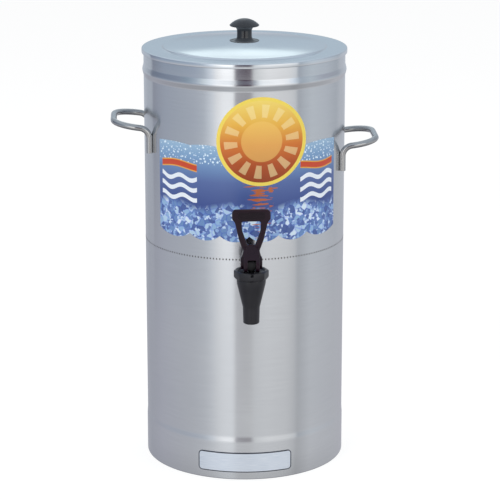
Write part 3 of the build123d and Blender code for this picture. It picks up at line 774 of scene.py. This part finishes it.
core = node(tree, "ShaderNodeMapRange", {
    "Value": far, "From Min": 27.0, "From Max": 26.0, "To Max": 0.5})
edge = node(tree, "ShaderNodeMath", {0: far, 1: rim_r}, operation="GREATER_THAN")
disc = laid_over(tree, amber, [
    (ray, colour("F6E3A6")), (core, colour("EFC46C")), (edge, colour("EED45C"))])
inside = node(tree, "ShaderNodeMath", {0: far, 1: disc_r}, operation="LESS_THAN")
dry = node(tree, "ShaderNodeMath", {0: shore, 1: horizon}, operation="GREATER_THAN")
risen = node(tree, "ShaderNodeMath", {0: inside, 1: dry}, operation="MULTIPLY")
inks.append((risen, disc))

# Its light on the water: amber dashes that grow fewer towards the pebbles.
stretch = node(tree, "ShaderNodeMapping", {"Vector": mm, "Scale": (0.06, 0.34, 1.0)})
dash = node(tree, "ShaderNodeTexNoise", {"Vector": stretch, "Scale": 1.0, "Detail": 1.0})
side_x = node(tree, "ShaderNodeMath", {0: from_x}, operation="ABSOLUTE")
need = node(tree, "ShaderNodeMapRange", {
    "Value": side_x, "From Max": 62.0, "To Min": 0.4, "To Max": 0.95})
drop = node(tree, "ShaderNodeMapRange", {
    "Value": z, "From Min": horizon, "From Max": 352.0, "To Max": 0.2})
need = node(tree, "ShaderNodeMath", {0: need, 1: drop})
shine = node(tree, "ShaderNodeMath", {0: dash, 1: need}, operation="GREATER_THAN")
wet = node(tree, "ShaderNodeMath", {0: shore, 1: horizon}, operation="LESS_THAN")
shine = node(tree, "ShaderNodeMath", {0: shine, 1: wet}, operation="MULTIPLY")
inks.append((shine, colour("B5633A")))
gloss = node(tree, "ShaderNodeBsdfPrincipled", {
    "Base Color": laid_over(tree, water, inks), "Roughness": 0.28, "IOR": 1.5,
    "Specular IOR Level": 0.35})
node(tree, "ShaderNodeOutputMaterial", {"Surface": gloss})
finish_mesh("front_label_film", label, "body", vinyl, ["front_label"])


# The name plate on the foot: thin lacquered aluminium with a plain face and the thin black line
# round its edge that such plates have. It follows the wall and sits a little to the left.
plate_half_w, plate_half_h, plate_t = 0.0615, 0.0137, 0.0008
plate_corner, plate_z, plate_turn = 0.005, 0.0242, math.radians(-2.5)
line_inner, line_outer = plate_corner - 0.0014, plate_corner - 0.0012
bent_share = 1.033  # How much wider its face is along the wall than straight across.
outline = []
for number in range(4):
    corner_x = (plate_half_w - plate_corner) * (1, -1, -1, 1)[number]
    corner_z = (plate_half_h - plate_corner) * (1, 1, -1, -1)[number]
    for x, z in arc(corner_x, corner_z, plate_corner, 90 * number, 90 * number + 90, 8):
        outline.append((wall * math.asin(x / base_r), z + plate_z))
plate = film("bare_plate", outline, base_r, plate_t)
plate.transform(Matrix.Rotation(plate_turn, 4, "Z"))

# Its lacquered face, brushed lengthwise in lines of 0.5 mm, coarser than the real ones so that
# they show. The black line lies at one distance from a rectangle inside the rounded corners.
foil, tree = new_material("lacquered_aluminium_with_black_line")
uv = node(tree, "ShaderNodeUVMap", uv_map="surface")
at = node(tree, "ShaderNodeVectorMath", {0: uv, 1: (0.0, plate_z, 0.0)}, operation="SUBTRACT")
at = node(tree, "ShaderNodeVectorMath", {0: at}, operation="ABSOLUTE")
inner = (plate_half_w * bent_share - plate_corner, plate_half_h - plate_corner, 0.0)
at = node(tree, "ShaderNodeVectorMath", {0: at, 1: inner}, operation="SUBTRACT")
at = node(tree, "ShaderNodeVectorMath", {0: at, 1: (0.0, 0.0, 0.0)}, operation="MAXIMUM")
out = node(tree, "ShaderNodeVectorMath", {0: at}, operation="LENGTH")
line = node(tree, "ShaderNodeMapRange", {
    "Value": out, "From Min": line_inner, "From Max": line_outer})
fine = node(tree, "ShaderNodeMapping", {"Vector": uv, "Scale": (60.0, 2200.0, 1.0)})
grain = node(tree, "ShaderNodeTexNoise", {"Vector": fine, "Scale": 1.0})
silver = node(tree, "ShaderNodeValToRGB", {"Fac": grain}, [(0.3, "D3DCE8"), (0.7, "E6ECF4")])
face = node(tree, "ShaderNodeMix", {
    "Factor": line, "A": silver, "B": colour("252B3A")}, data_type="RGBA")
dull = node(tree, "ShaderNodeMapRange", {"Value": line, "To Min": 0.55, "To Max": 0.0})
metal = node(tree, "ShaderNodeBsdfPrincipled", {
    "Base Color": face, "Metallic": dull, "Roughness": 0.32})
node(tree, "ShaderNodeOutputMaterial", {"Surface": metal})
finish_mesh("bare_plate", plate, "body", foil, ["name_plate"])


def moulded(name, tint, roughness, gloss=0.45, grain=1400.0):
    """Moulded plastic: a fine spark-eroded grain, drawn coarser than the real 0.1 mm so that it
    shows, and a slow change in how it shines."""
    made, tree = new_material(name)
    where = node(tree, "ShaderNodeTexCoord").outputs["Object"]
    fine = node(tree, "ShaderNodeTexNoise", {"Vector": where, "Scale": grain, "Detail": 2.0})
    flow = node(tree, "ShaderNodeTexNoise", {"Vector": where, "Scale": 60.0, "Detail": 2.0})
    shade = node(tree, "ShaderNodeMapRange", {
        "Value": flow, "From Min": 0.35, "From Max": 0.65, "To Min": 0.9, "To Max": 1.0})
    rough = node(tree, "ShaderNodeMapRange", {
        "Value": flow, "From Min": 0.35, "From Max": 0.65,
        "To Min": roughness - 0.03, "To Max": roughness + 0.04})
    relief = node(tree, "ShaderNodeBump", {"Strength": 0.25, "Distance": 0.00002, "Height": fine})
    plastic = node(tree, "ShaderNodeBsdfPrincipled", {
        "Base Color": toned(tree, tint, shade), "Roughness": rough, "IOR": 1.5,
        "Specular IOR Level": gloss, "Normal": relief})
    node(tree, "ShaderNodeOutputMaterial", {"Surface": plastic})
    return made


def merged(name):
    """A CAD part's shape with its loose triangles joined."""
    shape = bmesh.new()
    shape.from_mesh(nodes[name].data)
    bmesh.ops.remove_doubles(shape, verts=shape.verts, dist=1e-6)
    return shape


tap_black = moulded("moulded_black_polypropylene", "1A191F", 0.32)
for name, part in (("tap_cone", "tap_body"), ("tap_ring_nut", "tap_bonnet")):
    shape = merged(part)
    bmesh.ops.dissolve_limit(
        shape, angle_limit=math.radians(0.6), verts=shape.verts, edges=shape.edges)
    blank = placed("blank", as_mesh(name, shape))
    soften = blank.modifiers.new("edges", "BEVEL")
    soften.width = 0.00035
    soften.segments = 2
    soften.limit_method = "ANGLE"
    soften.angle_limit = math.radians(32)
    finish_mesh(name, applied(blank), "body", tap_black, [part])


# What holds and seals the tap: silicone rings on both faces of the wall, a steel washer and a
# black nut inside the tank. These keep their CAD shapes.
def wear(names, material):
    """Gives CAD parts that keep their own shape their finish."""
    for name in names:
        nodes[name].data.materials.clear()
        nodes[name].data.materials.append(material)


silicone, tree = new_material("translucent_white_silicone")
where = node(tree, "ShaderNodeTexCoord").outputs["Object"]
cloud = node(tree, "ShaderNodeTexNoise", {"Vector": where, "Scale": 180.0})
milky = node(tree, "ShaderNodeValToRGB", {"Fac": cloud}, [(0.3, "CFCFC8"), (0.7, "DEDED8")])
rubber = node(tree, "ShaderNodeBsdfPrincipled", {
    "Base Color": milky, "Roughness": 0.42, "IOR": 1.41,
    "Subsurface Weight": 0.4, "Subsurface Radius": (0.003, 0.003, 0.003),
    "Subsurface Scale": 1.0})
node(tree, "ShaderNodeOutputMaterial", {"Surface": rubber})
bright_steel = plain_metal("turned_stainless_steel", "CFCFD1", 0.16)
wear(["shank_gasket_outer", "shank_gasket_inner", "seat_cup"], silicone)
wear(["shank_washer", "lever_pin", "knob_washer", "knob_screw"], bright_steel)
wear(["shank_nut"], tap_black)
wear(["tap_stem"], moulded("black_acetal", "18181A", 0.3))


# The lever, one moulding in black-brown plastic: a loop with a wide bar, a neck, and two cheeks
# that flow into round ears over the pin. It is remeshed so that its forms melt together.
tap_y, pin_z, cheek_half = -0.185, 0.3143, 0.0055
melt_size, melt_turns = 0.00042, 5
ear = [(0.0095, 0.0205), (0.0113, 0.0125), (0.0130, 0.0065), (0.0138, 0.0005),
       (0.0138, -0.0072), (0.0060, -0.0072), (0.0060, 0.0205)]
shape = merged("tap_lever")
for hand in (-1, 1):
    front_face = [shape.verts.new((hand * x, tap_y - cheek_half, pin_z + z)) for x, z in ear]
    back_face = [shape.verts.new((hand * x, tap_y + cheek_half, pin_z + z)) for x, z in ear]
    faces = [shape.faces.new(front_face), shape.faces.new(back_face)]
    for number in range(len(ear)):
        after = (number + 1) % len(ear)
        faces.append(shape.faces.new((
            front_face[number], front_face[after], back_face[after], back_face[number])))
    bmesh.ops.recalc_face_normals(shape, faces=faces)
blank = placed("blank", as_mesh("lever", shape))
melt = blank.modifiers.new("melt", "REMESH")
melt.mode = "VOXEL"
melt.voxel_size = melt_size
ease = blank.modifiers.new("ease", "SMOOTH")
ease.factor = 0.5
ease.iterations = melt_turns
finish_mesh("lever_moulding", applied(blank), "lever",
            moulded("moulded_black_brown_nylon", "1F0D1A", 0.3, gloss=0.3),
            ["tap_lever"], sharp=180.0)
wear(["lever_tag"], moulded("satin_tag_plastic", "170A14", 0.26, gloss=0.28))


# The lid: a pressed disc with a raised middle and a step round it, and a skirt folded double
# at its hem. It is satin steel, rolled rather than brushed, so it shines softly all round.
lid_r, lid_corner, step_r, step_w, step_h = wall + 0.0025, 0.0015, 0.110, 0.003, 0.002
lid_z, dome_h, land_r, skirt_h, hem_h = 0.5611, 0.0052, 0.021, 0.0065, 0.0032
dome_r = step_r - step_w
land_z = lid_z + step_h + dome_h
bow = (dome_r ** 2 - land_r ** 2) / (2 * dome_h)


def jog(r0, z0, r1, z1, inset, steps=6):
    """Radius and height along the two arcs of a step pressed in a sheet, on one face of it."""
    run, fall = r1 - r0, z0 - z1
    turn = 2 * math.atan(fall / run)
    bend = run / (2 * math.sin(turn))
    tilt = math.degrees(turn)
    points = arc(r0, z0 - bend, bend - inset, 90, 90 - tilt, steps)
    return points + arc(r1, z1 + bend, bend + inset, 270 - tilt, 270, steps)


def lid_face(inset):
    """One face of the lid's sheet from its middle to the rim's corner."""
    points = [(0.0, land_z - inset), (0.006, land_z - inset), (0.014, land_z - inset)]
    for number in range(19):
        r = land_r + (dome_r - land_r) * number / 18
        points.append((r, land_z - inset - (r ** 2 - land_r ** 2) / (2 * bow)))
    points += jog(dome_r, lid_z + step_h, step_r, lid_z, inset)
    fold = lid_r - lid_corner
    points += [(fold - (fold - step_r) * (1 - part / 5), lid_z - inset) for part in range(1, 5)]
    return points + arc(fold, lid_z - lid_corner, lid_corner - inset, 90, 0, 8)


hem_z = lid_z - skirt_h
single = lid_r - sheet_t
outline = lid_face(0.0) + [(lid_r, hem_z + sheet_t + (skirt_h - lid_corner) * 0.5)]
outline += arc(single, hem_z + sheet_t, sheet_t, 0, -180, 10)
outline += [(single - sheet_t, hem_z + hem_h), (single, hem_z + hem_h)]
outline += lid_face(sheet_t)[::-1]
finish_mesh("lid", turned("lid", outline), "lid",
            brushed_steel("satin_rolled_stainless_steel", "E2E6EA", 0.1, grain=0.0012,
                          brushing=0.12),
            ["lid_pan", "lid_skirt"])


# The knob: one moulding in black phenolic with a soft gloss, waisted under a lens-shaped cap,
# with a thin round foot that sits on the lid. A screw from below holds it.
def curve_to(start, heading, end, steps=12):
    """Points of the arc that leaves a point along a heading and ends at another point."""
    (x0, z0), (x1, z1) = start, end
    side = (-heading[1], heading[0])
    run = ((x1 - x0) ** 2 + (z1 - z0) ** 2) / (2 * ((x1 - x0) * side[0] + (z1 - z0) * side[1]))
    centre = (x0 + side[0] * run, z0 + side[1] * run)
    first = math.atan2(z0 - centre[1], x0 - centre[0])
    last = math.atan2(z1 - centre[1], x1 - centre[0])
    turn = (last - first + math.pi) % (2 * math.pi) - math.pi
    return arc(*centre, abs(run), math.degrees(first), math.degrees(first + turn), steps)


foot_r, foot_lip, foot_t = 0.0197, 0.0003, 0.0009
stem_r, stem_low, stem_high = 0.0099, 0.007, 0.0135
cap_r, cap_z, cap_top = 0.0197, 0.0215, 0.0301
lip = (cap_r - 0.0012, cap_z - 0.0015)
cap_bow = (cap_r ** 2 + (cap_top - cap_z) ** 2) / (2 * (cap_top - cap_z))
outline = [(0.0, 0.0), (foot_r - 0.0005, 0.0), (foot_r, foot_lip)]
outline += curve_to((stem_r, stem_low), (0, -1), (foot_r, foot_t))[::-1]
outline += curve_to((stem_r, stem_high), (0, 1), lip)
outline += curve_to((cap_r, cap_z), (0, -1), lip, 5)[::-1][1:]
for number in range(1, 17):
    angle = math.asin(cap_r / cap_bow) * (1 - number / 16)
    outline.append((cap_bow * math.sin(angle), cap_top - cap_bow * (1 - math.cos(angle))))
outline = [(r, z + land_z) for r, z in outline]
knob = finish_mesh(
    "lid_knob_moulding", turned("lid_knob", outline, around=96), "lid",
    moulded("moulded_black_phenolic", "15161B", 0.25, gloss=0.8, grain=500.0), ["lid_knob"])

# The lid's shine stays whole: neither the knob nor its screw shows in it.
knob.visible_glossy = False
bpy.data.objects["knob_screw"].visible_glossy = False
